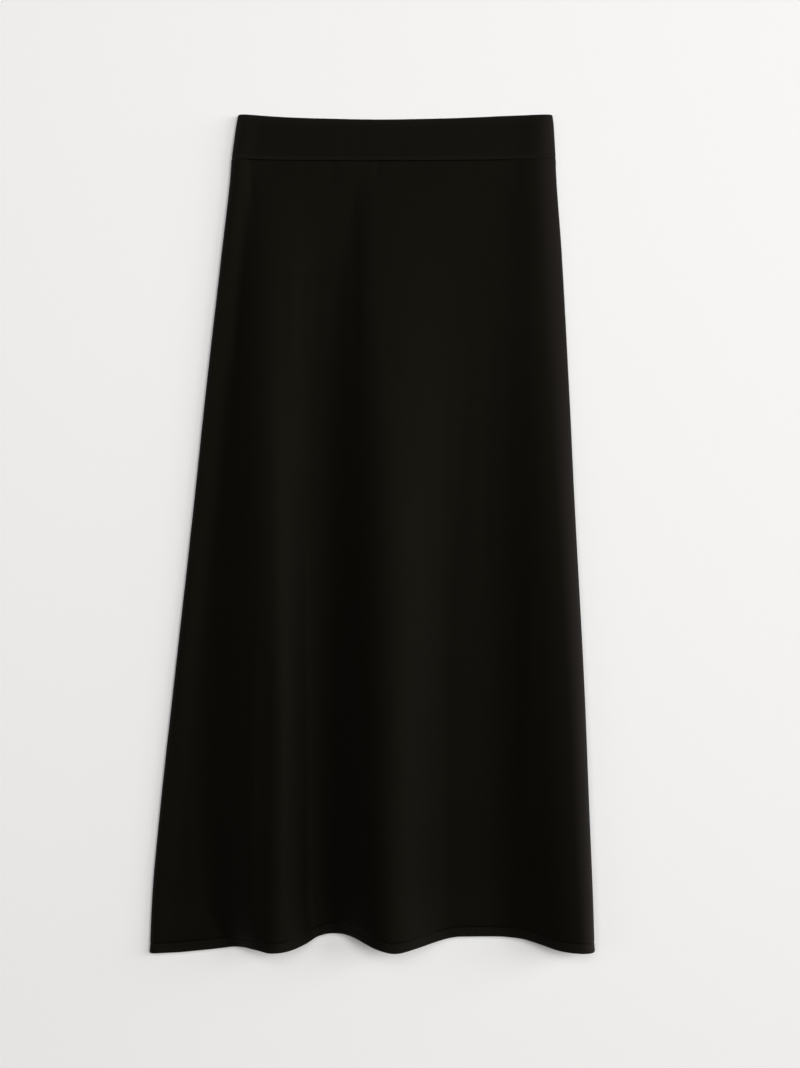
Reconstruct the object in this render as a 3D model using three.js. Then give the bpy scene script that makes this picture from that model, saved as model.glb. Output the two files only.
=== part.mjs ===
// A long A-line skirt in fine black knit, laid flat on its back.
// Millimetres. X runs across the skirt, Y from the hem to the waist, Z up from the surface it lies on.
// The origin is on that surface, under the middle of the skirt's length and width.
import * as THREE from "three";

// Driving dimensions
const skirtLength = 919; // waistband corner to the lowest point of the hem
const bandDepth = 48; // waistband, at its ends
const clothThickness = 1.5;
const bandThickness = 2.8; // two layers of knit, folded over at the top edge
const seamGap = 0.3; // between the front and back panels, along the sides
const waistGap = 0.4; // between the panels and the waistband
const nesting = 0.65; // how much of a fold's height the back shares with the front
const sideTail = 1.3; // over 1, a side fold falls away quickly and then runs out slowly

// How finely the walls are divided
const panelRows = 21; // down a panel, before the rows of its hem
const sideCells = 4; // round each quarter of a side fold
const frontCells = 56;
const backCells = 40;
const bandCells = 32;
const samples = 400; // along a section, to space its cells evenly

// Where the side folds stand, left and right of the centre line
const outline = [
  { down: 0, left: 146.4, right: 198.2 },
  { down: 12, left: 148.5, right: 199.7 },
  { down: 48, left: 153.3, right: 201.7 },
  { down: 72, left: 155.3, right: 202.8 },
  { down: 149, left: 164.1, right: 208.3 },
  { down: 313, left: 182.8, right: 216.9 },
  { down: 423, left: 194.4, right: 221.9 },
  { down: 642, left: 218.9, right: 233.0 },
  { down: 751, left: 230.9, right: 237.1 },
  { down: 860, left: 240.8, right: 241.4 },
  { down: 909, left: 242.9, right: 242.9 },
];

// How far the waistband's top edge and its seam dip below their ends
const waistCurve = [
  { across: -142, topDip: 0, seamDip: 0.5 },
  { across: -130, topDip: 0.4, seamDip: 1.0 },
  { across: -96, topDip: 2.6, seamDip: 1.7 },
  { across: -61, topDip: 3.9, seamDip: 2.0 },
  { across: 9, topDip: 5.2, seamDip: 2.1 },
  { across: 79, topDip: 4.0, seamDip: 2.0 },
  { across: 114, topDip: 2.8, seamDip: 1.6 },
  { across: 149, topDip: 1.2, seamDip: 1.1 },
  { across: 193, topDip: 0, seamDip: 0.1 },
];

// How far the hem rises above its lowest corner
const hemCurve = [
  { across: -240, rise: 0 },
  { across: -215, rise: 0.8 },
  { across: -188, rise: 3.2 },
  { across: -162, rise: 6.0 },
  { across: -146, rise: 8.2 },
  { across: -136, rise: 9.0 },
  { across: -123, rise: 8.6 },
  { across: -110, rise: 7.0 },
  { across: -97, rise: 7.6 },
  { across: -84, rise: 9.0 },
  { across: -71, rise: 12.4 },
  { across: -58, rise: 18.8 },
  { across: -45, rise: 21.8 },
  { across: -32, rise: 22.3 },
  { across: -19, rise: 20.5 },
  { across: -6, rise: 16.0 },
  { across: 7, rise: 11.6 },
  { across: 26, rise: 8.4 },
  { across: 46, rise: 10.9 },
  { across: 72, rise: 14.2 },
  { across: 98, rise: 18.2 },
  { across: 137, rise: 18.4 },
  { across: 163, rise: 17.2 },
  { across: 176, rise: 14.6 },
  { across: 189, rise: 11.4 },
  { across: 202, rise: 8.0 },
  { across: 214, rise: 6.4 },
  { across: 241, rise: 4.6 },
];

// The rounded folds along the two sides: full height, how far in their crest lies,
// and how far past the crest each runs on before it lies flat
const sideFolds = {
  left: [
    { down: 0, height: 8, crest: 8, reach: 20 },
    { down: 48, height: 8.5, crest: 6.5, reach: 24 },
    { down: 200, height: 7.8, crest: 5, reach: 26 },
    { down: 860, height: 7, crest: 4.5, reach: 26 },
    { down: 919, height: 8, crest: 5, reach: 26 },
  ],
  right: [
    { down: 0, height: 8, crest: 16, reach: 28 },
    { down: 48, height: 7.5, crest: 22, reach: 36 },
    { down: 200, height: 9, crest: 25, reach: 52 },
    { down: 312, height: 13.5, crest: 23, reach: 66 },
    { down: 450, height: 20, crest: 21, reach: 84 },
    { down: 700, height: 28, crest: 19, reach: 104 },
    { down: 860, height: 32, crest: 18, reach: 108 },
    { down: 919, height: 33, crest: 17, reach: 98 },
  ],
};

// The long soft folds that run from near the waist to the hem
const longFolds = {
  left: [
    { down: 60, across: -113, height: 0, leftFoot: 40, rightFoot: 60 },
    { down: 160, across: -113, height: 6, leftFoot: 47, rightFoot: 60 },
    { down: 312, across: -111, height: 14, leftFoot: 64, rightFoot: 48 },
    { down: 535, across: -104, height: 24, leftFoot: 88, rightFoot: 38 },
    { down: 700, across: -100, height: 28, leftFoot: 96, rightFoot: 34 },
    { down: 860, across: -101, height: 31, leftFoot: 86, rightFoot: 36 },
    { down: 919, across: -104, height: 32, leftFoot: 54, rightFoot: 47 },
  ],
  middle: [
    { down: 60, across: 4, height: 0, leftFoot: 24, rightFoot: 130 },
    { down: 160, across: 4, height: 6, leftFoot: 40, rightFoot: 120 },
    { down: 312, across: 14, height: 16, leftFoot: 70, rightFoot: 96 },
    { down: 535, across: 21, height: 27, leftFoot: 82, rightFoot: 68 },
    { down: 700, across: 22, height: 33, leftFoot: 84, rightFoot: 62 },
    { down: 860, across: 22, height: 38, leftFoot: 82, rightFoot: 62 },
    { down: 919, across: 23, height: 39, leftFoot: 70, rightFoot: 64 },
  ],
};

// Air between the front and the back where they lie on each other
const layers = [
  { down: 0, air: 0.5 },
  { down: 47, air: 0.5 },
  { down: 48, air: 1.8 },
  { down: 110, air: 1.0 },
  { down: 850, air: 1.2 },
  { down: 905, air: 3.6 },
];

// How the wall's faces are built up near the edges: outer and inner are added to half the thickness
const bandBuild = [
  { down: 0, outer: -0.8, inner: -0.7 },
  { down: 1.3, outer: 0, inner: 0 },
  { down: 24, outer: 0, inner: 0 },
  { down: 46, outer: 0, inner: 0 },
  { down: bandDepth, outer: -0.6, inner: 0 },
];
const hemBuild = [
  { up: 11.8, outer: 0, inner: 0 },
  { up: 10.6, outer: -0.45, inner: 0.9 }, // the line where the turned-up hem is caught down
  { up: 9.4, outer: 0, inner: 1.4 },
  { up: 1.3, outer: 0, inner: 1.4 },
  { up: 0, outer: -0.5, inner: 0.7 },
];

// Reads one column of a table between its rows, on a smooth curve that doesn't overshoot.
function read(rows, along, column, at) {
  const last = rows.length - 1;
  if (at <= rows[0][along]) return rows[0][column];
  if (at >= rows[last][along]) return rows[last][column];
  const k = rows.findIndex((row) => row[along] > at) - 1;
  const slope = (i) => (rows[i + 1][column] - rows[i][column]) / (rows[i + 1][along] - rows[i][along]);
  const tangent = (i) => {
    if (i === 0 || i === last) return slope(Math.min(i, last - 1));
    const [before, after] = [slope(i - 1), slope(i)];
    return before * after <= 0 ? 0 : (2 * before * after) / (before + after);
  };
  const span = rows[k + 1][along] - rows[k][along];
  const t = (at - rows[k][along]) / span;
  return (
    rows[k][column] * (1 + 2 * t) * (1 - t) ** 2 +
    rows[k + 1][column] * t * t * (3 - 2 * t) +
    span * (tangent(k) * t * (1 - t) ** 2 + tangent(k + 1) * t * t * (t - 1))
  );
}

// A soft ridge: 1 on its crest, 0 at its foot.
function swell(distance, foot) {
  return distance < foot ? (1 + Math.cos((Math.PI * distance) / foot)) / 2 : 0;
}

// The sizes of the cross-section at one distance down the skirt, for walls of one thickness.
function sectionAt(down, thickness) {
  const half = thickness / 2;
  const air = read(layers, "down", "air", down);
  const side = (name, sign) => {
    const edge = sign * (read(outline, "down", name, down) - half);
    return {
      edge,
      crest: edge - sign * (read(sideFolds[name], "down", "crest", down) - half),
      height: read(sideFolds[name], "down", "height", down) - thickness,
      reach: read(sideFolds[name], "down", "reach", down),
    };
  };
  return {
    half,
    left: side("left", -1),
    right: side("right", 1),
    apart: thickness + air,
    folds: Object.values(longFolds).map((rows) => ({
      across: read(rows, "down", "across", down),
      height: read(rows, "down", "height", down),
      leftFoot: read(rows, "down", "leftFoot", down),
      rightFoot: read(rows, "down", "rightFoot", down),
    })),
  };
}

// How far the long folds lift the front at one place across.
function liftOf(section, x) {
  return section.folds.reduce((lift, fold) => {
    const foot = x < fold.across ? fold.leftFoot : fold.rightFoot;
    return lift + fold.height * swell(Math.abs(x - fold.across), foot);
  }, 0);
}

// Height of the middle of the front or back wall, between the crests of the side folds.
function levelOf(section, layer, x) {
  const lift = liftOf(section, x);
  if (layer === "back") return section.half + nesting * lift;
  // The front keeps its distance from the back square to the cloth, so more of it where the cloth slopes
  const lean = Math.hypot(1, liftOf(section, x + 1) - lift);
  const level = section.half + section.apart * lean + lift;
  return [section.left, section.right].reduce((raised, side) => {
    const height = side.height - section.apart;
    return raised + height * swell(Math.abs(x - side.crest), side.reach) ** sideTail;
  }, level);
}

// A quarter curve from the side seam to the crest of a side fold, in the cloth's middle.
function sidePoints(section, side, layer, gap) {
  const sign = layer === "front" ? 1 : -1;
  const middle = section.half + side.height / 2 + (sign * gap) / 2;
  const rise = side.height / 2 - gap / 2;
  return Array.from({ length: sideCells + 1 }, (_, k) => {
    const angle = (k / sideCells) * (Math.PI / 2);
    const x = side.edge + (side.crest - side.edge) * (1 - Math.cos(angle));
    return { x, z: middle + sign * rise * Math.sin(angle) };
  });
}

// Points across one layer, from the left side to the right, evenly along the cloth.
function layerPoints(section, layer, cells, gap) {
  const [from, to] = [section.left.crest, section.right.crest];
  const fine = Array.from({ length: samples + 1 }, (_, k) => {
    const x = from + ((to - from) * k) / samples;
    return { x, z: levelOf(section, layer, x) };
  });
  const along = [0];
  for (let k = 1; k <= samples; k++)
    along.push(along[k - 1] + Math.hypot(fine[k].x - fine[k - 1].x, fine[k].z - fine[k - 1].z));
  const inner = [];
  for (let j = 1, k = 1; j < cells; j++) {
    const wanted = (along[samples] * j) / cells;
    while (along[k] < wanted) k++;
    const share = (wanted - along[k - 1]) / (along[k] - along[k - 1]);
    const x = fine[k - 1].x + share * (fine[k].x - fine[k - 1].x);
    inner.push({ x, z: levelOf(section, layer, x) });
  }
  return [
    ...sidePoints(section, section.left, layer, gap),
    ...inner,
    ...sidePoints(section, section.right, layer, gap).reverse(),
  ];
}

// Outer and inner points of a wall, moved out from the cloth's middle line.
function wallPoints(line, y, outwards, outer, inner, closed) {
  const last = line.length - 1;
  const neighbour = (j) => line[closed ? (j + line.length) % line.length : Math.min(Math.max(j, 0), last)];
  const wall = { outer: [], inner: [] };
  line.forEach((point, j) => {
    const [before, after] = [neighbour(j - 1), neighbour(j + 1)];
    const normal = new THREE.Vector2(before.z - after.z, after.x - before.x).multiplyScalar(outwards);
    if (!closed && j === 0) normal.set(-1, 0);
    if (!closed && j === last) normal.set(1, 0);
    normal.normalize();
    wall.outer.push([point.x + normal.x * outer, y(point.x), point.z + normal.y * outer]);
    wall.inner.push([point.x - normal.x * inner, y(point.x), point.z - normal.y * inner]);
  });
  return wall;
}

// Closes rows of outer and inner points into one solid wall.
function wallGeometry(rows, closed, flipped) {
  const count = rows.length;
  const columns = rows[0].outer.length;
  const points = [...rows.map((row) => row.outer), ...rows.map((row) => row.inner)].flat(2);
  const outer = (i, j) => i * columns + (j % columns);
  const inner = (i, j) => (count + i) * columns + (j % columns);
  const faces = [];
  const quad = (a, b, c, d) => faces.push(...(flipped ? [a, c, b, a, d, c] : [a, b, c, a, c, d]));
  const cells = closed ? columns : columns - 1;
  for (let j = 0; j < cells; j++) {
    quad(outer(0, j), outer(0, j + 1), inner(0, j + 1), inner(0, j));
    quad(outer(count - 1, j), inner(count - 1, j), inner(count - 1, j + 1), outer(count - 1, j + 1));
    for (let i = 0; i < count - 1; i++) {
      quad(outer(i, j), outer(i + 1, j), outer(i + 1, j + 1), outer(i, j + 1));
      quad(inner(i, j), inner(i, j + 1), inner(i + 1, j + 1), inner(i + 1, j));
    }
  }
  for (let i = 0; i < count - 1 && !closed; i++) {
    quad(outer(i, 0), inner(i, 0), inner(i + 1, 0), outer(i + 1, 0));
    quad(outer(i, cells), outer(i + 1, cells), inner(i + 1, cells), inner(i, cells));
  }
  return new THREE.BufferGeometry()
    .setAttribute("position", new THREE.Float32BufferAttribute(points, 3))
    .setIndex(faces);
}

const topY = (x) => skirtLength / 2 - read(waistCurve, "across", "topDip", x);
const seamY = (x) => skirtLength / 2 - bandDepth - read(waistCurve, "across", "seamDip", x);
const hemY = (x) => read(hemCurve, "across", "rise", x) - skirtLength / 2;

// One panel, from just below the waistband's seam to the hem.
function panelGeometry(layer, cells) {
  const top = bandDepth + waistGap;
  const bodyEnd = skirtLength - hemBuild[0].up;
  const body = Array.from({ length: panelRows }, (_, i) => ({
    down: top + ((bodyEnd - top) * i) / panelRows,
    outer: 0,
    inner: 0,
  }));
  const hem = hemBuild.map(({ up, outer, inner }) => ({ down: skirtLength - up, outer, inner }));
  const walls = [...body, ...hem].map(({ down, outer, inner }) => {
    const section = sectionAt(down, clothThickness);
    const share = (down - bandDepth) / (skirtLength - bandDepth);
    const y = (x) => seamY(x) + share * (hemY(x) - seamY(x));
    const line = layerPoints(section, layer, cells, seamGap);
    const outwards = layer === "front" ? 1 : -1;
    return wallPoints(line, y, outwards, section.half + outer, section.half + inner, false);
  });
  return wallGeometry(walls, false, layer === "back");
}

// The waistband, one flattened ring.
function bandGeometry(cells) {
  const walls = bandBuild.map(({ down, outer, inner }) => {
    const section = sectionAt(down, bandThickness);
    const share = down / bandDepth;
    const y = (x) => topY(x) + share * (seamY(x) - topY(x));
    const front = layerPoints(section, "front", cells, 0);
    const back = layerPoints(section, "back", cells, 0).reverse();
    const ring = [...front, ...back.slice(1, -1)];
    return wallPoints(ring, y, 1, section.half + outer, section.half + inner, true);
  });
  return wallGeometry(walls, true, false);
}

function piece(name, geometry, colour, roughness) {
  geometry.computeVertexNormals();
  const material = new THREE.MeshStandardMaterial({ color: colour, roughness, metalness: 0 });
  const mesh = new THREE.Mesh(geometry, material);
  mesh.name = name;
  return mesh;
}

const skirt = new THREE.Group();
skirt.name = "skirt";
skirt.add(
  piece("front_panel", panelGeometry("front", frontCells), 0x14130f, 0.9),
  piece("back_panel", panelGeometry("back", backCells), 0x14130f, 0.9),
  piece("waistband", bandGeometry(bandCells), 0x151410, 0.88),
);

export default skirt;
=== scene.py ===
import math

import bmesh
import bpy
import numpy as np
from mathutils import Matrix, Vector, noise


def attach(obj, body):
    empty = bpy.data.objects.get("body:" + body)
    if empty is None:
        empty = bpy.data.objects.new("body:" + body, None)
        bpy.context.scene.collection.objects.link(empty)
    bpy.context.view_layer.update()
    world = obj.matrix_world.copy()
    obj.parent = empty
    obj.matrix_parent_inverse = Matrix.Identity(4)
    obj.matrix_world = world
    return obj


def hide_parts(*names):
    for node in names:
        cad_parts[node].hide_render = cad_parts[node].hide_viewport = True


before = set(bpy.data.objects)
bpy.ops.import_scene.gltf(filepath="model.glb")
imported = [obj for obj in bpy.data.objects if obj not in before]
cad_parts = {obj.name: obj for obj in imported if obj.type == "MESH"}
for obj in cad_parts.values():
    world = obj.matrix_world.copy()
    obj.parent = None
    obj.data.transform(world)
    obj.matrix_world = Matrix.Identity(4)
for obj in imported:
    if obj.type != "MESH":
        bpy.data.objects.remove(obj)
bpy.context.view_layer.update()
scene = bpy.context.scene
mm = 0.001  # the tables below are in millimetres
print("frame loaded:", ", ".join(sorted(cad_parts)))

# Straight above the skirt and looking down, a little to the right of its middle
cameraSetup = {"across": 31.1, "along": -0.15, "height": 1900, "lens": 58.28, "sensor": 36}

cameraData = bpy.data.cameras.new("camera")
cameraData.sensor_width = cameraSetup["sensor"]
cameraData.lens = cameraSetup["lens"]
camera = bpy.data.objects.new("camera", cameraData)
camera.location = Vector((cameraSetup["across"], cameraSetup["along"], cameraSetup["height"])) * mm
scene.collection.objects.link(camera)
scene.camera = camera
print("camera placed")

# The skirt's own sizes, which are those of its solids
skirt = {
    "length": 919,
    "bandDepth": 48,
    "panelWall": 1.5,
    "bandWall": 2.8,
    "nesting": 0.65,  # how much of a fold's height the back shares with the front
    "sideTail": 1.3,  # over 1, a side fold falls away quickly and runs out slowly
}

outline = {
    "down": (0, 12, 48, 72, 149, 313, 423, 642, 751, 860, 909),
    "left": (146.4, 148.5, 153.3, 155.3, 164.1, 182.8, 194.4, 218.9, 230.9, 240.8, 242.9),
    "right": (198.2, 199.7, 201.7, 202.8, 208.3, 216.9, 221.9, 233.0, 237.1, 241.4, 242.9),
}
waistCurve = {
    "across": (-142, -130, -96, -61, 9, 79, 114, 149, 193),
    "topDip": (0, 0.4, 2.6, 3.9, 5.2, 4.0, 2.8, 1.2, 0),
    "seamDip": (0.5, 1.0, 1.7, 2.0, 2.1, 2.0, 1.6, 1.1, 0.1),
}
hemCurve = {
    "across": (-240, -215, -188, -162, -146, -136, -123, -110, -97, -84, -71, -58, -45, -32,
               -19, -6, 7, 26, 46, 72, 98, 137, 163, 176, 189, 202, 214, 241),
    "rise": (0, 0.8, 3.2, 6.0, 8.2, 9.0, 8.6, 7.0, 7.6, 9.0, 12.4, 18.8, 21.8, 22.3,
             20.5, 16.0, 11.6, 8.4, 10.9, 14.2, 18.2, 18.4, 17.2, 14.6, 11.4, 8.0, 6.4, 4.6),
}
sideFolds = {
    "left": {
        "down": (0, 48, 200, 860, 919),
        "height": (8, 8.5, 7.8, 7, 8),
        "crest": (8, 6.5, 5, 4.5, 5),
        "reach": (20, 24, 26, 26, 26),
    },
    "right": {
        "down": (0, 48, 200, 312, 450, 700, 860, 919),
        "height": (8, 7.5, 9, 13.5, 20, 28, 32, 33),
        "crest": (16, 22, 25, 23, 21, 19, 18, 17),
        "reach": (28, 36, 52, 66, 84, 104, 108, 98),
    },
}
longFolds = {
    "left": {
        "down": (60, 160, 312, 535, 700, 860, 919),
        "across": (-113, -113, -111, -104, -100, -101, -104),
        "height": (0, 6, 14, 24, 28, 31, 32),
        "leftFoot": (40, 47, 64, 88, 96, 86, 54),
        "rightFoot": (60, 60, 48, 38, 34, 36, 47),
    },
    "middle": {
        "down": (60, 160, 312, 535, 700, 860, 919),
        "across": (4, 4, 14, 21, 22, 22, 23),
        "height": (0, 6, 16, 27, 33, 38, 39),
        "leftFoot": (24, 40, 70, 82, 84, 82, 70),
        "rightFoot": (130, 120, 96, 68, 62, 62, 64),
    },
}
layersApart = {
    "down": (0, 47, 48, 110, 850, 905),
    "air": (0.5, 0.5, 1.8, 1.0, 1.2, 3.6),
}


def smoothCurve(knots, values):
    # a curve through the rows of a table that doesn't overshoot between them
    x, y = np.array(knots, float), np.array(values, float)
    slope = np.diff(y) / np.diff(x)
    before, after = slope[:-1], slope[1:]
    bend = np.where(before * after > 0, before + after, 1)
    middle = np.where(before * after > 0, 2 * before * after / bend, 0)
    tangent = np.concatenate([slope[:1], middle, slope[-1:]])

    def read(at):
        at = np.clip(at, x[0], x[-1])
        k = np.clip(np.searchsorted(x, at, side="right") - 1, 0, len(x) - 2)
        span = x[k + 1] - x[k]
        t = (at - x[k]) / span
        return (
            y[k] * (1 + 2 * t) * (1 - t) ** 2
            + y[k + 1] * t * t * (3 - 2 * t)
            + span * (tangent[k] * t * (1 - t) ** 2 + tangent[k + 1] * t * t * (t - 1))
        )

    return read


def curvesOf(table, along="down"):
    return {name: smoothCurve(table[along], values) for name, values in table.items() if name != along}


outlineAt = curvesOf(outline)
waistAt = curvesOf(waistCurve, "across")
hemAt = curvesOf(hemCurve, "across")
sideFoldAt = {name: curvesOf(table) for name, table in sideFolds.items()}
longFoldAt = {name: curvesOf(table) for name, table in longFolds.items()}
airAt = curvesOf(layersApart)["air"]


def swell(distance, foot):
    # a soft ridge: 1 on its crest, 0 at its foot
    return np.where(distance < foot, (1 + np.cos(np.pi * np.minimum(distance / foot, 1))) / 2, 0)


# Soft troughs (height below 0) and ridges pressed into the cloth by hand, from one end to the other
frontCreases = [
    {"from": (-134, 46), "to": (-132, 84), "height": -0.7, "foot": 6, "fade": 14},
    {"from": (-108, 49), "to": (-112, 66), "height": -0.15, "foot": 6, "fade": 9},
    {"from": (-76, 48), "to": (-73, 62), "height": -0.2, "foot": 6, "fade": 9},
    {"from": (-41, 49), "to": (-45, 70), "height": -0.2, "foot": 8, "fade": 12},
    {"from": (9, 48), "to": (6, 60), "height": -0.6, "foot": 5, "fade": 8},
    {"from": (58, 49), "to": (61, 72), "height": -0.15, "foot": 8, "fade": 12},
    {"from": (112, 49), "to": (108, 64), "height": -0.2, "foot": 7, "fade": 9},
    {"from": (158, 49), "to": (161, 74), "height": -0.3, "foot": 9, "fade": 12},
    {"from": (-21, 118), "to": (-17, 240), "height": -0.4, "foot": 11, "fade": 70},
    {"from": (-142, 128), "to": (-150, 250), "height": -0.5, "foot": 10, "fade": 45},
    {"from": (-84, 168), "to": (-88, 262), "height": 0.5, "foot": 10, "fade": 40},
    {"from": (79, 380), "to": (75, 620), "height": -0.5, "foot": 9, "fade": 100},
    {"from": (128, 250), "to": (122, 470), "height": -0.5, "foot": 15, "fade": 70},
    {"from": (-116, 640), "to": (-118, 890), "height": -0.9, "foot": 13, "fade": 90},
    {"from": (-128, 740), "to": (-129, 850), "height": 0.5, "foot": 6, "fade": 40},
    {"from": (-202, 540), "to": (-208, 700), "height": 0.4, "foot": 12, "fade": 60},
    {"from": (-30, 690), "to": (-36, 840), "height": 0.5, "foot": 9, "fade": 50},
    {"from": (172, 560), "to": (168, 770), "height": 0.5, "foot": 14, "fade": 80},
]
backCreases = [
    {"from": (-120, 50), "to": (-116, 92), "height": 0.5, "foot": 6, "fade": 14},
    {"from": (-48, 50), "to": (-52, 70), "height": 0.45, "foot": 6, "fade": 10},
    {"from": (32, 50), "to": (36, 84), "height": 0.5, "foot": 7, "fade": 12},
    {"from": (118, 50), "to": (114, 78), "height": 0.45, "foot": 6, "fade": 12},
    {"from": (-60, 150), "to": (-48, 340), "height": 0.5, "foot": 10, "fade": 60},
    {"from": (96, 240), "to": (108, 520), "height": 0.55, "foot": 13, "fade": 90},
    {"from": (-204, 470), "to": (-214, 760), "height": 0.5, "foot": 12, "fade": 80},
    {"from": (150, 620), "to": (158, 830), "height": 0.6, "foot": 12, "fade": 70},
]
unevenness = {
    "height": 0.22,
    "across": 52,
    "down": 170,
    "waistHeight": 0.22,
    "waistAcross": 9,
    "waistFade": 14,
    "seeds": {"front": 1, "band": 3},
    "waistSeed": 5,  # added to the others for the small gathers at the waist
}


def creaseShift(creases, x, down):
    shift = np.zeros_like(x)
    for crease in creases:
        (startX, startDown), (endX, endDown) = crease["from"], crease["to"]
        outside = max(startDown - down, down - endDown, 0)
        if outside >= crease["fade"]:
            continue
        share = min(max((down - startDown) / (endDown - startDown), 0), 1)
        line = startX + (endX - startX) * share
        strength = crease["height"] * float(swell(outside, crease["fade"]))
        shift += strength * swell(np.abs(x - line), crease["foot"])
    return shift


def softWaver(x, down, seed):
    # the slight unevenness of cloth that was smoothed out by hand
    waver = [
        noise.noise(Vector((value / unevenness["across"], down / unevenness["down"], seed))) for value in x
    ]
    near = math.exp(-max(down - skirt["bandDepth"], 0) / unevenness["waistFade"])
    waistSeed = seed + unevenness["waistSeed"]
    gathers = [noise.noise(Vector((value / unevenness["waistAcross"], waistSeed, 0))) for value in x]
    return unevenness["height"] * np.array(waver) + near * unevenness["waistHeight"] * np.array(gathers)


mesh = {
    "sideCells": 12,  # round each quarter of a side fold
    "sideFiner": 1.35,  # over 1, these are finer at the seam than at the crest
    "cells": {"front": 176, "back": 150, "band": 118},  # across, from crest to crest
    "samples": 700,  # across, to space the points evenly along the cloth
    "panelRows": 150,  # between the rows of the waist and those of the hem
}


def sectionAt(down, wall):
    # the sizes of the cross-section at one distance down the skirt
    half = wall / 2

    def side(name, sign):
        fold = {key: float(curve(down)) for key, curve in sideFoldAt[name].items()}
        edge = sign * (float(outlineAt[name](down)) - half)
        return {
            "edge": edge,
            "crest": edge - sign * (fold["crest"] - half),
            "height": fold["height"] - wall,
            "reach": fold["reach"],
        }

    return {
        "down": down,
        "half": half,
        "left": side("left", -1),
        "right": side("right", 1),
        "apart": wall + float(airAt(down)),
        "folds": [
            {key: float(curve(down)) for key, curve in curves.items()} for curves in longFoldAt.values()
        ],
    }


def liftOf(section, x):
    lift = np.zeros_like(x)
    for fold in section["folds"]:
        foot = np.where(x < fold["across"], fold["leftFoot"], fold["rightFoot"])
        lift += fold["height"] * swell(np.abs(x - fold["across"]), foot)
    return lift


def levelOf(section, layer, x):
    # height of the middle of the cloth between the crests of the side folds
    lift = liftOf(section, x)
    down = section["down"]
    inPanel = down >= skirt["bandDepth"]
    pressed = creaseShift(frontCreases, x, down) if inPanel else np.zeros_like(x)
    if layer == "back":
        shared = skirt["nesting"] * (lift + pressed)
        hidden = creaseShift(backCreases, x, down) if inPanel else 0
        return section["half"] + np.maximum(shared, 0) + hidden
    lean = np.hypot(1, liftOf(section, x + 1) - lift)  # keeps the layers as far apart on a slope
    level = section["half"] + section["apart"] * lean + lift + pressed
    for side in (section["left"], section["right"]):
        height = side["height"] - section["apart"]
        level += height * swell(np.abs(x - side["crest"]), side["reach"]) ** skirt["sideTail"]
    return level


def quarterTurn():
    # angles round a side fold, from 0 at the seam to a right angle on its crest
    cells = mesh["sideCells"]
    return (np.arange(cells + 1) / cells) ** mesh["sideFiner"] * np.pi / 2


def sidePoints(section, side, layer, gap):
    # a quarter curve from the side seam to the crest of a side fold
    sign = 1 if layer == "front" else -1
    middle = section["half"] + side["height"] / 2 + sign * gap / 2
    rise = side["height"] / 2 - gap / 2
    angle = quarterTurn()
    x = side["edge"] + (side["crest"] - side["edge"]) * (1 - np.cos(angle))
    return np.stack([x, middle + sign * rise * np.sin(angle)], axis=1)


def layerPoints(section, part, layer, gap):
    # points across one layer of a part from the left side to the right, evenly along the cloth
    cells = mesh["cells"][part]
    fine = np.linspace(section["left"]["crest"], section["right"]["crest"], mesh["samples"])
    level = levelOf(section, layer, fine)
    along = np.concatenate([[0], np.cumsum(np.hypot(np.diff(fine), np.diff(level)))])
    x = np.interp(np.linspace(0, along[-1], cells + 1)[1:-1], along, fine)
    z = levelOf(section, layer, x)
    if layer == "front":
        z += softWaver(x, section["down"], unevenness["seeds"][part])
    left = sidePoints(section, section["left"], layer, gap)
    right = sidePoints(section, section["right"], layer, gap)
    return np.concatenate([left, np.stack([x, z], axis=1), right[::-1]])


def outwardNormals(line, outwards, closed):
    # straight out from a line of points; at the ends of an open line they point sideways
    if closed:
        before, after = np.roll(line, 1, axis=0), np.roll(line, -1, axis=0)
    else:
        before, after = np.vstack([line[:1], line[:-1]]), np.vstack([line[1:], line[-1:]])
    normal = np.stack([before[:, 1] - after[:, 1], after[:, 0] - before[:, 0]], axis=1) * outwards
    if not closed:
        normal[0], normal[-1] = (-1, 0), (1, 0)
    return normal / np.linalg.norm(normal, axis=1)[:, None]


def lengthAlong(line):
    return np.concatenate([[0], np.cumsum(np.hypot(*np.diff(line, axis=0).T))])


def topY(x):
    return skirt["length"] / 2 - waistAt["topDip"](x)


def seamY(x):
    return skirt["length"] / 2 - skirt["bandDepth"] - waistAt["seamDip"](x)


def hemY(x):
    return hemAt["rise"](x) - skirt["length"] / 2


def panelY(x, down):
    # a panel's rows follow the waist seam at its top and turn bit by bit into the wavy hem line
    share = (down - skirt["bandDepth"]) / (skirt["length"] - skirt["bandDepth"])
    return seamY(x) + share * (hemY(x) - seamY(x))


cloth = {
    "thickness": 1.0,
    "proud": 0.25,  # out from the middle of the solid's wall, so that the outer faces are the same
    "seamGap": 0.8,  # between the middles of front and back at the side seams
}
# Rows of a panel below its waist seam: it swells a little over the seam allowance, and its edge
# turns back in beside the waistband
waistRows = [
    {"below": 0.3, "inset": 0.02},
    {"below": 0.7, "inset": -0.11},
    {"below": 1.2, "inset": -0.22},
    {"below": 2.1, "inset": -0.28},
    {"below": 3.4, "inset": -0.26},
    {"below": 5.0, "inset": -0.18},
    {"below": 7.0, "inset": -0.09},
    {"below": 9.6, "inset": -0.03},
    {"below": 12.4, "inset": 0},
    {"below": 15.6, "inset": 0},
    {"below": 19.4, "inset": 0},
    {"below": 24.0, "inset": 0},
]
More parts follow.
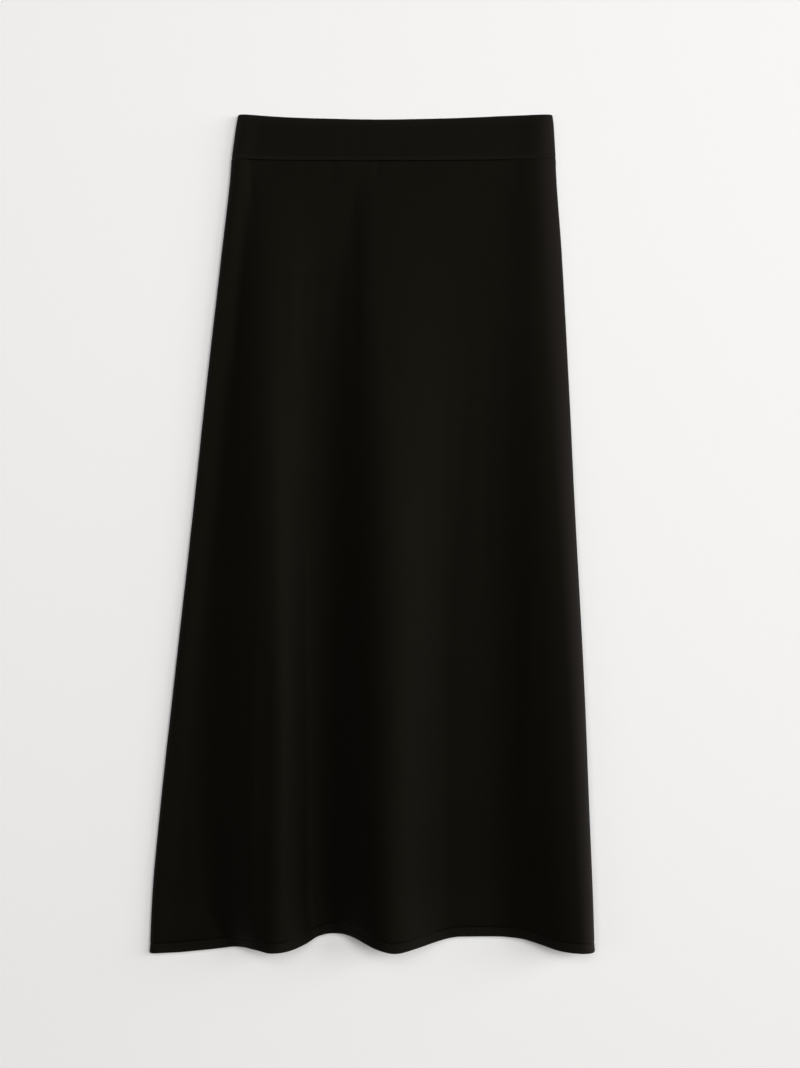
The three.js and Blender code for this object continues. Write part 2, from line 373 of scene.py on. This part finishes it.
# Rows of the hem: past the sunk line of stitches, round the fold and up inside to the raw edge;
# where the inset is below 0, the front's edge flares a little
hemRows = [
    {"up": 14.6, "inset": 0},
    {"up": 12.8, "inset": 0},
    {"up": 11.9, "inset": 0.04},
    {"up": 11.3, "inset": 0.2},
    {"up": 10.8, "inset": 0.45},
    {"up": 10.4, "inset": 0.5},
    {"up": 10.0, "inset": 0.32},
    {"up": 9.4, "inset": 0.1},
    {"up": 8.6, "inset": 0},
    {"up": 7.2, "inset": -0.06},
    {"up": 5.8, "inset": -0.18},
    {"up": 4.4, "inset": -0.34},
    {"up": 3.1, "inset": -0.48},
    {"up": 2.0, "inset": -0.52},
    {"up": 1.2, "inset": -0.42},
    {"up": 0.8, "inset": -0.16},
    {"up": 0.62, "inset": 0.3},
    {"up": 0.62, "inset": 0.8},
    {"up": 0.85, "inset": 1.22},
    {"up": 1.4, "inset": 1.42},
    {"up": 2.6, "inset": 1.45},
    {"up": 5.0, "inset": 1.45},
    {"up": 7.6, "inset": 1.5},
    {"up": 9.2, "inset": 1.66},
    {"up": 10.4, "inset": 1.85},
]
seamTurn = (0.25, 0.1, 0.03)  # how far the first columns turn in at the side seams
# The cloth is painted a little paler along the hem as a painted highlight: most at the hem's fold, less on
# its strip
hemHighlight = {"up": (0, 1.5, 3, 6, 9.5, 10.6), "wearAndHighlight": (0.42, 0.3, 0.2, 0.12, 0.1, 0)}


def foldedEdge(count):
    # how hard each point across a layer is folded: 1 at the side seams, 0 from the side folds' crests on;
    # it also sets where the side folds' outer edges get a painted highlight
    turn = np.cos(quarterTurn())
    folded = np.zeros(count)
    folded[: len(turn)] = turn
    folded[-len(turn) :] = turn[::-1]
    return folded


def placeMesh(name, bm):
    data = bpy.data.meshes.new(name)
    bm.to_mesh(data)
    bm.free()
    piece = bpy.data.objects.new(name, data)
    scene.collection.objects.link(piece)
    return piece


def knitSheet(name, points, closed, flipped):
    # one sheet of cloth on a grid; points[row][column] holds x, y, z, the place on the flat cloth
    # and how much paleness, wear and painted highlight, the cloth has there
    rows, columns = points.shape[0] - 1, points.shape[1] - 1
    bm = bmesh.new()
    bmesh.ops.create_grid(bm, x_segments=columns, y_segments=rows, size=1)
    uvLayer = bm.loops.layers.uv.new("cloth")
    wearAndHighlightLayer = bm.verts.layers.float.new("wearAndHighlight")
    flatPlace = {}
    for vert in bm.verts:
        column = round((vert.co.x + 1) / 2 * columns)
        row = rows - round((vert.co.y + 1) / 2 * rows)
        x, y, z, u, v, wearAndHighlight = points[row, column]
        vert.co = Vector((x, y, z)) * mm
        vert[wearAndHighlightLayer] = wearAndHighlight
        flatPlace[vert] = (u * mm, v * mm)
    for face in bm.faces:
        face.smooth = True
        for loop in face.loops:
            loop[uvLayer].uv = flatPlace[loop.vert]
    if closed:
        bmesh.ops.remove_doubles(bm, verts=bm.verts, dist=1e-6)
    if flipped:
        bmesh.ops.reverse_faces(bm, faces=bm.faces)
    piece = placeMesh(name, bm)
    wall = piece.modifiers.new("wall", "SOLIDIFY")
    wall.thickness = cloth["thickness"] * mm
    wall.offset = 0
    return piece


def rowsDownPanel():
    top, bottom = skirt["bandDepth"], skirt["length"]
    first = [{"down": top + row["below"], "inset": row["inset"]} for row in waistRows]
    last = [{"down": bottom - row["up"], "inset": row["inset"]} for row in hemRows]
    count = mesh["panelRows"]
    between = np.linspace(first[-1]["down"], last[0]["down"], count + 1)[1:-1]
    return first + [{"down": float(down), "inset": 0} for down in between] + last


def buildPanel(name, layer):
    outwards = 1 if layer == "front" else -1
    rows = []
    turned = 0
    before = None
    wearAndHighlightAt = curvesOf(hemHighlight, "up")["wearAndHighlight"]
    for row in rowsDownPanel():
        inset = max(row["inset"], 0) if layer == "back" else row["inset"]  # the back doesn't flare
        section = sectionAt(row["down"], skirt["panelWall"])
        line = layerPoints(section, layer, layer, cloth["seamGap"])
        normal = outwardNormals(line, outwards, False)
        sunk = np.full(len(line), inset - cloth["proud"])
        for k, turn in enumerate(seamTurn):
            sunk[k] += turn
            sunk[-1 - k] += turn
        placed = line - normal * sunk[:, None]
        y = panelY(line[:, 0], row["down"])
        across = lengthAlong(line)
        across -= across[-1] / 2
        if before is not None:
            turned += math.hypot(row["down"] - before["down"], row["inset"] - before["inset"])
        before = row
        v = np.full(len(line), -turned)
        # painted highlight: full along the side folds' outer edges, and along the hem by its table
        wearAndHighlight = np.maximum(foldedEdge(len(line)), wearAndHighlightAt(skirt["length"] - row["down"]))
        rows.append(np.stack([placed[:, 0], y, placed[:, 1], across, v, wearAndHighlight], axis=1))
    points = np.array(rows)  # turned is now the length of the cloth, round the hem's fold too
    atWaist, atHem = (points[k, -1, 3] - points[k, 0, 3] for k in (0, -1))
    print(f"{name}: cut {atWaist:.0f} mm wide at the waist, {atHem:.0f} at the hem, {turned:.0f} long")
    return knitSheet(name, points, False, layer == "back")


# The band is painted palest along its fold at the top, and a little paler over the seam below, where the
# paleness is a painted highlight of its lower edge
bandWearAndHighlight = {
    "down": (0, 1.6, 3, 6, 10, 42, 44.6, 46, 47.4),
    "wearAndHighlight": (0.4, 0.35, 0.22, 0.1, 0, 0, 0.16, 0.24, 0.24),
}
# Rows of the band from its lower edge up the outside, over the fold and down inside
bandRows = [
    {"down": 47.9, "offset": 0.52},
    {"down": 47.55, "offset": 0.64},
    {"down": 47.0, "offset": 0.8},
    {"down": 46.0, "offset": 0.94},
    {"down": 44.6, "offset": 1.04},
    {"down": 43.0, "offset": 1.06},
    {"down": 41.2, "offset": 0.99},
    {"down": 39.2, "offset": 0.92},
    *({"down": float(down), "offset": 0.9} for down in np.linspace(37, 2.6, 19)),
    {"down": 1.7, "offset": 0.84},
    {"down": 1.0, "offset": 0.62},
    {"down": 0.6, "offset": 0.24},
    {"down": 0.6, "offset": -0.24},
    {"down": 1.0, "offset": -0.62},
    {"down": 1.7, "offset": -0.84},
    *({"down": float(down), "offset": -0.9} for down in np.linspace(3.0, 47.4, 8)),
]


def buildBand(name):
    rows = []
    along = 0
    before = None
    wearAndHighlightAt = curvesOf(bandWearAndHighlight)["wearAndHighlight"]
    for row in reversed(bandRows):
        section = sectionAt(row["down"], skirt["bandWall"])
        front = layerPoints(section, "band", "front", 0)
        back = layerPoints(section, "band", "back", 0)[::-1]
        ring = np.concatenate([front, back[1:-1]])
        normal = outwardNormals(ring, 1, True)
        placed = ring + normal * row["offset"]
        share = row["down"] / skirt["bandDepth"]
        x = ring[:, 0]
        y = topY(x) + share * (seamY(x) - topY(x))
        ring = np.vstack([ring, ring[:1]])  # the last column closes the ring, and is merged later
        across = lengthAlong(ring)
        if before is not None:
            along += math.hypot(row["down"] - before["down"], row["offset"] - before["offset"])
        before = row
        line = np.stack([placed[:, 0], y, placed[:, 1]], axis=1)
        line = np.vstack([line, line[:1]])
        # painted highlight on the side folds' edges, and the band's pale rows along its top fold and over
        # its seam
        folded = np.concatenate([foldedEdge(len(front)), foldedEdge(len(back))[1:-1]])
        wearAndHighlight = np.maximum(np.append(folded, folded[0]), wearAndHighlightAt(row["down"]))
        flat = np.stack([across, np.full(len(across), -along), wearAndHighlight], axis=1)
        rows.append(np.hstack([line, flat]))
    points = np.array(rows)
    print(f"{name}: ring {points[0, -1, 3]:.0f} mm round, cloth {along:.0f} mm deep before it is folded")
    return knitSheet(name, points, True, False)


stitch = {
    "spacing": 3.0,
    "length": 2.1,
    "width": 0.5,
    "height": 0.4,
    "up": 10.6,  # above the hem's edge
    "inset": 0.25,  # how deep it lies in the sunk line
    "stray": 0.25,  # how far a stitch may be out of its place along the line
    "strayStep": 1.7,  # from stitch to stitch in the noise that it comes from
    "seed": 11,
}


def buildStitches(name, layer):
    # short beads of thread in the sunk line above the hem
    down = skirt["length"] - stitch["up"]
    section = sectionAt(down, skirt["panelWall"])
    line = layerPoints(section, layer, layer, cloth["seamGap"])
    normal = outwardNormals(line, 1 if layer == "front" else -1, False)
    face = skirt["panelWall"] / 2 - stitch["inset"]
    y = panelY(line[:, 0], down)
    path = np.stack([line[:, 0] + normal[:, 0] * face, y, line[:, 1] + normal[:, 1] * face], axis=1)
    along = np.concatenate([[0], np.cumsum(np.linalg.norm(np.diff(path, axis=0), axis=1))])
    count = int(along[-1] / stitch["spacing"]) - 1
    bm = bmesh.new()
    for k in range(count):
        stray = noise.noise(Vector((k * stitch["strayStep"], stitch["seed"], 0)))
        at = (k + 1) * stitch["spacing"] + stitch["stray"] * stray
        spot = Vector([float(np.interp(at, along, path[:, axis])) for axis in range(3)])
        ahead = Vector([float(np.interp(at + 1, along, path[:, axis])) for axis in range(3)]) - spot
        sideways, upwards = (float(np.interp(at, along, normal[:, axis])) for axis in (0, 1))
        side = Vector((sideways, 0, upwards))
        ahead.normalize()
        up = (side - ahead * side.dot(ahead)).normalized()
        turn = ahead.rotation_difference(Vector((1, 0, 0))).inverted().to_matrix()
        made = bmesh.ops.create_uvsphere(bm, u_segments=6, v_segments=4, radius=0.5)["verts"]
        bmesh.ops.scale(bm, vec=(stitch["length"], stitch["width"], stitch["height"]), verts=made)
        bmesh.ops.rotate(bm, cent=(0, 0, 0), matrix=turn, verts=made)
        bmesh.ops.translate(bm, vec=spot, verts=made)
    bmesh.ops.scale(bm, vec=(mm, mm, mm), verts=bm.verts)
    for face in bm.faces:
        face.smooth = True
    print(f"{name}: {count} stitches")
    return placeMesh(name, bm)


def addNode(tree, kind, **settings):
    node = tree.nodes.new(kind)
    for name, value in settings.items():
        setattr(node, name, value)
    return node


def calc(tree, operation, *values):
    # a maths node; a number is set on its socket, an output is linked to it
    node = addNode(tree, "ShaderNodeMath", operation=operation)
    for socket, value in zip(node.inputs, values):
        if isinstance(value, (int, float)):
            socket.default_value = value
        else:
            tree.links.new(value, socket)
    return node.outputs[0]


knitPattern = {
    "slant": 0.7,  # how far a stitch's legs slope, in courses
    "legLow": 0.35,  # a leg's height where it dips under the next
    "legRise": 0.65,
    "fuzzScale": 2600,
    "fuzzDetail": 3,
    "toneScale": 14,
    "toneDetail": 6,
    "toneRoughness": 0.65,
}


def knitGroup():
    # columns of small V stitches on the flat cloth, with fuzz, painted shade in the gaps between them and
    # a slow change of tone
    tree = bpy.data.node_groups.new("knitStitches", "ShaderNodeTree")
    sockets = [
        ("Cloth", "INPUT", "NodeSocketVector", None),
        ("Place", "INPUT", "NodeSocketVector", None),
        ("Wales per metre", "INPUT", "NodeSocketFloat", 900.0),
        ("Courses per metre", "INPUT", "NodeSocketFloat", 1150.0),
        ("Fuzz", "INPUT", "NodeSocketFloat", 0.3),
        ("Height", "OUTPUT", "NodeSocketFloat", None),
        ("Gap shade", "OUTPUT", "NodeSocketFloat", None),
        ("Tone", "OUTPUT", "NodeSocketFloat", None),
    ]
    for name, direction, kind, value in sockets:
        socket = tree.interface.new_socket(name=name, in_out=direction, socket_type=kind)
        if value is not None:
            socket.default_value = value
    start, end = addNode(tree, "NodeGroupInput"), addNode(tree, "NodeGroupOutput")
    split = addNode(tree, "ShaderNodeSeparateXYZ")
    tree.links.new(start.outputs["Cloth"], split.inputs[0])
    wale = calc(tree, "FRACT", calc(tree, "MULTIPLY", split.outputs[0], start.outputs["Wales per metre"]))
    side = calc(tree, "MULTIPLY", calc(tree, "ABSOLUTE", calc(tree, "SUBTRACT", wale, 0.5)), 2.0)
    leg = calc(tree, "SINE", calc(tree, "MULTIPLY", side, math.pi))
    course = calc(tree, "MULTIPLY", split.outputs[1], start.outputs["Courses per metre"])
    sloped = calc(tree, "MULTIPLY", side, knitPattern["slant"])
    slant = calc(tree, "FRACT", calc(tree, "ADD", course, sloped))
    loop = calc(tree, "SINE", calc(tree, "MULTIPLY", slant, math.pi))
    height = calc(tree, "MULTIPLY_ADD", loop, knitPattern["legRise"], knitPattern["legLow"])
    stitches = calc(tree, "MULTIPLY", leg, height)
    fuzz = addNode(tree, "ShaderNodeTexNoise")
    fuzz.inputs["Scale"].default_value = knitPattern["fuzzScale"]
    fuzz.inputs["Detail"].default_value = knitPattern["fuzzDetail"]
    tree.links.new(start.outputs["Place"], fuzz.inputs["Vector"])
    hairs = calc(tree, "MULTIPLY", fuzz.outputs["Fac"], start.outputs["Fuzz"])
    tree.links.new(calc(tree, "ADD", stitches, hairs), end.inputs["Height"])
    tree.links.new(calc(tree, "SUBTRACT", 1.0, stitches), end.inputs["Gap shade"])
    slow = addNode(tree, "ShaderNodeTexNoise")
    slow.inputs["Scale"].default_value = knitPattern["toneScale"]
    slow.inputs["Detail"].default_value = knitPattern["toneDetail"]
    slow.inputs["Roughness"].default_value = knitPattern["toneRoughness"]
    tree.links.new(start.outputs["Place"], slow.inputs["Vector"])
    tree.links.new(slow.outputs["Fac"], end.inputs["Tone"])
    return tree


# The yarn is nearly black: what shows of it is mostly a warm sheen
knitLooks = {
    "dark": (0.0001, 0.0001, 0.0001),
    "light": (0.0007, 0.0006, 0.0004),
    "roughness": 0.65,
    "specular": 0.07,
    "glossTint": (1, 0.88, 0.58),
    "sheen": 0.042,
    "sheenRoughness": 0.5,
    "sheenTint": (1, 0.92, 0.8),
    # pale colour painted on as a highlight along the side folds' edges, the hem and the band's seam, and
    # along the band's top fold
    "wearAndHighlight": (0.0095, 0.0078, 0.0084),
    "gapShade": -0.45,  # painted shade, darker in the gaps between stitches
    "toneShift": 0.25,  # added to the tone, which then blends dark and light
    "wearAndHighlightLeast": 0.6,  # this share of the pale colour, painted highlight and wear, shows all over, and more of it by the slow tone
    "wearAndHighlightByTone": 0.8,
    "roughByTone": 0.1,
    "bump": 0.18,
    "bumpDepth": 0.25,
    "wales": 900,
    "courses": 1150,
    "fuzz": 0.3,
}
bandLooks = {**knitLooks, "light": (0.0013, 0.0015, 0.0015), "wales": 960, "courses": 1250, "bump": 0.3}
threadLooks = {
    "colour": (0.0022, 0.002, 0.0017),
    "roughness": 0.55,
    "specular": 0.08,
    "twist": 1500,
    "bump": 0.4,
    "bumpDepth": 0.1,
}


def blendColours(tree, factor, *colours):
    node = addNode(tree, "ShaderNodeMix", data_type="RGBA", clamp_factor=True)
    tree.links.new(factor, node.inputs["Factor"])
    for socket, colour in zip([socket for socket in node.inputs if socket.type == "RGBA"], colours):
        if isinstance(colour, tuple):
            socket.default_value = (*colour, 1)
        else:
            tree.links.new(colour, socket)
    return next(socket for socket in node.outputs if socket.type == "RGBA")


def newMaterial(name):
    material = bpy.data.materials.new(name)
    material.use_nodes = True
    return material, material.node_tree, material.node_tree.nodes["Principled BSDF"]


def addBump(tree, shader, height, looks):
    bump = addNode(tree, "ShaderNodeBump")
    bump.inputs["Strength"].default_value = looks["bump"]
    bump.inputs["Distance"].default_value = looks["bumpDepth"] * mm
    tree.links.new(height, bump.inputs["Height"])
    tree.links.new(bump.outputs["Normal"], shader.inputs["Normal"])


def knitMaterial(name, group, looks):
    material, tree, shader = newMaterial(name)
    shader.inputs["Specular IOR Level"].default_value = looks["specular"]
    shader.inputs["Specular Tint"].default_value = (*looks["glossTint"], 1)
    shader.inputs["Sheen Weight"].default_value = looks["sheen"]
    shader.inputs["Sheen Roughness"].default_value = looks["sheenRoughness"]
    shader.inputs["Sheen Tint"].default_value = (*looks["sheenTint"], 1)
    pattern = addNode(tree, "ShaderNodeGroup", node_tree=group)
    pattern.inputs["Wales per metre"].default_value = looks["wales"]
    pattern.inputs["Courses per metre"].default_value = looks["courses"]
    pattern.inputs["Fuzz"].default_value = looks["fuzz"]
    flat = addNode(tree, "ShaderNodeUVMap", uv_map="cloth")
    place = addNode(tree, "ShaderNodeTexCoord")
    tree.links.new(flat.outputs["UV"], pattern.inputs["Cloth"])
    tree.links.new(place.outputs["Object"], pattern.inputs["Place"])
    # the gaps between stitches are painted darker, as painted shade
    tone = calc(tree, "MULTIPLY_ADD", pattern.outputs["Gap shade"], looks["gapShade"], pattern.outputs["Tone"])
    shade = calc(tree, "ADD", tone, looks["toneShift"])
    yarn = blendColours(tree, shade, looks["dark"], looks["light"])
    # the pale colour is blended over the yarn by this attribute: painted highlight on fold edges, hem and
    # band seam, and paleness on the band's top fold
    wearAndHighlightMask = addNode(tree, "ShaderNodeAttribute", attribute_name="wearAndHighlight")
    uneven = calc(tree, "MULTIPLY_ADD", pattern.outputs["Tone"], looks["wearAndHighlightByTone"], looks["wearAndHighlightLeast"])
    wearAndHighlight = calc(tree, "MULTIPLY", wearAndHighlightMask.outputs["Fac"], uneven)
    tree.links.new(blendColours(tree, wearAndHighlight, yarn, looks["wearAndHighlight"]), shader.inputs["Base Color"])
    spread = looks["roughByTone"]
    rough = calc(tree, "MULTIPLY_ADD", pattern.outputs["Tone"], spread, looks["roughness"] - spread / 2)
    tree.links.new(rough, shader.inputs["Roughness"])
    addBump(tree, shader, pattern.outputs["Height"], looks)
    return material


def threadMaterial(name, looks):
    material, tree, shader = newMaterial(name)
    shader.inputs["Base Color"].default_value = (*looks["colour"], 1)
    shader.inputs["Roughness"].default_value = looks["roughness"]
    shader.inputs["Specular IOR Level"].default_value = looks["specular"]
    place = addNode(tree, "ShaderNodeTexCoord")
    twist = addNode(tree, "ShaderNodeTexWave", bands_direction="DIAGONAL")
    twist.inputs["Scale"].default_value = looks["twist"]
    tree.links.new(place.outputs["Object"], twist.inputs["Vector"])
    addBump(tree, shader, twist.outputs["Fac"], looks)
    return material


stitchesGroup = knitGroup()
bodyKnit = knitMaterial("bodyKnit", stitchesGroup, knitLooks)
bandKnit = knitMaterial("bandKnit", stitchesGroup, bandLooks)
hemThread = threadMaterial("hemThread", threadLooks)
print("materials made")

frontPanel = buildPanel("skirtFront", "front")
backPanel = buildPanel("skirtBack", "back")
waistband = buildBand("skirtWaistband")
frontStitches = buildStitches("hemStitchesFront", "front")
backStitches = buildStitches("hemStitchesBack", "back")

for piece, material in (
    (frontPanel, bodyKnit),
    (backPanel, bodyKnit),
    (waistband, bandKnit),
    (frontStitches, hemThread),
    (backStitches, hemThread),
):
    piece.data.materials.append(material)
    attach(piece, "root")

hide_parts("front_panel")
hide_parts("back_panel")
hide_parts("waistband")

print("pieces placed on their body")

studio = {
    "floorSize": 6,
    "floorBelow": 0.3,  # millimetres under the cloth
    "floorColour": (0.855, 0.845, 0.835),
    "floorRoughness": 0.9,
    "floorGloss": 0.1,
    "world": 0.02,
    "surround": (0.87, 0.868, 0.862),
}
# Soft boxes round the skirt, in metres, degrees and watts
softBoxes = [
    {"name": "lowRight", "azimuth": 12, "elevation": 11, "distance": 8, "size": (3.2, 3), "power": 310},
    {"name": "right", "azimuth": 12, "elevation": 32, "distance": 8, "size": (3.2, 2.4), "power": 160},
    {"name": "highRight", "azimuth": 12, "elevation": 62, "distance": 8, "size": (3.2, 2.1), "power": 207},
    {"name": "far", "azimuth": 90, "elevation": 78, "distance": 4.5, "size": (3.8, 2.8), "power": 113},
    {"name": "left", "azimuth": 180, "elevation": 35, "distance": 8, "size": (4, 4), "power": 42},
]


def areaLight(values):
    data = bpy.data.lights.new(values["name"], "AREA")
    data.shape = "RECTANGLE"
    data.size, data.size_y = values["size"]
    data.energy = values["power"]
    azimuth, elevation = math.radians(values["azimuth"]), math.radians(values["elevation"])
    light = bpy.data.objects.new(values["name"], data)
    out = math.cos(elevation)
    direction = Vector((out * math.cos(azimuth), out * math.sin(azimuth), math.sin(elevation)))
    light.location = values["distance"] * direction
    light.rotation_euler = (-light.location).to_track_quat("-Z", "Y").to_euler()
    scene.collection.objects.link(light)


def buildFloor(name):
    bm = bmesh.new()
    bmesh.ops.create_grid(bm, x_segments=1, y_segments=1, size=studio["floorSize"] / 2)
    bmesh.ops.translate(bm, vec=(0, 0, -studio["floorBelow"] * mm), verts=bm.verts)
    paper, _, shader = newMaterial("floorPaper")
    shader.inputs["Base Color"].default_value = (*studio["floorColour"], 1)
    shader.inputs["Roughness"].default_value = studio["floorRoughness"]
    shader.inputs["Specular IOR Level"].default_value = studio["floorGloss"]
    floor = placeMesh(name, bm)
    floor.data.materials.append(paper)
    return floor


def studioWorld(name):
    # a faint light from all round, and a pale surround that shows but lights nothing
    world = bpy.data.worlds.new(name)
    world.use_nodes = True
    tree = world.node_tree
    fill = tree.nodes["Background"]
    fill.inputs["Strength"].default_value = studio["world"]
    fill.inputs["Color"].default_value = (1, 1, 1, 1)
    surround = addNode(tree, "ShaderNodeBackground")
    surround.inputs["Color"].default_value = (*studio["surround"], 1)
    seen = addNode(tree, "ShaderNodeLightPath")
    shown = addNode(tree, "ShaderNodeMixShader")
    tree.links.new(seen.outputs["Is Camera Ray"], shown.inputs[0])
    tree.links.new(fill.outputs[0], shown.inputs[1])
    tree.links.new(surround.outputs[0], shown.inputs[2])
    tree.links.new(shown.outputs[0], tree.nodes["World Output"].inputs["Surface"])
    return world


buildFloor("floor")
for values in softBoxes:
    areaLight(values)
scene.world = studioWorld("studioWorld")
scene.view_settings.view_transform = "Standard"
print("floor and lights set")
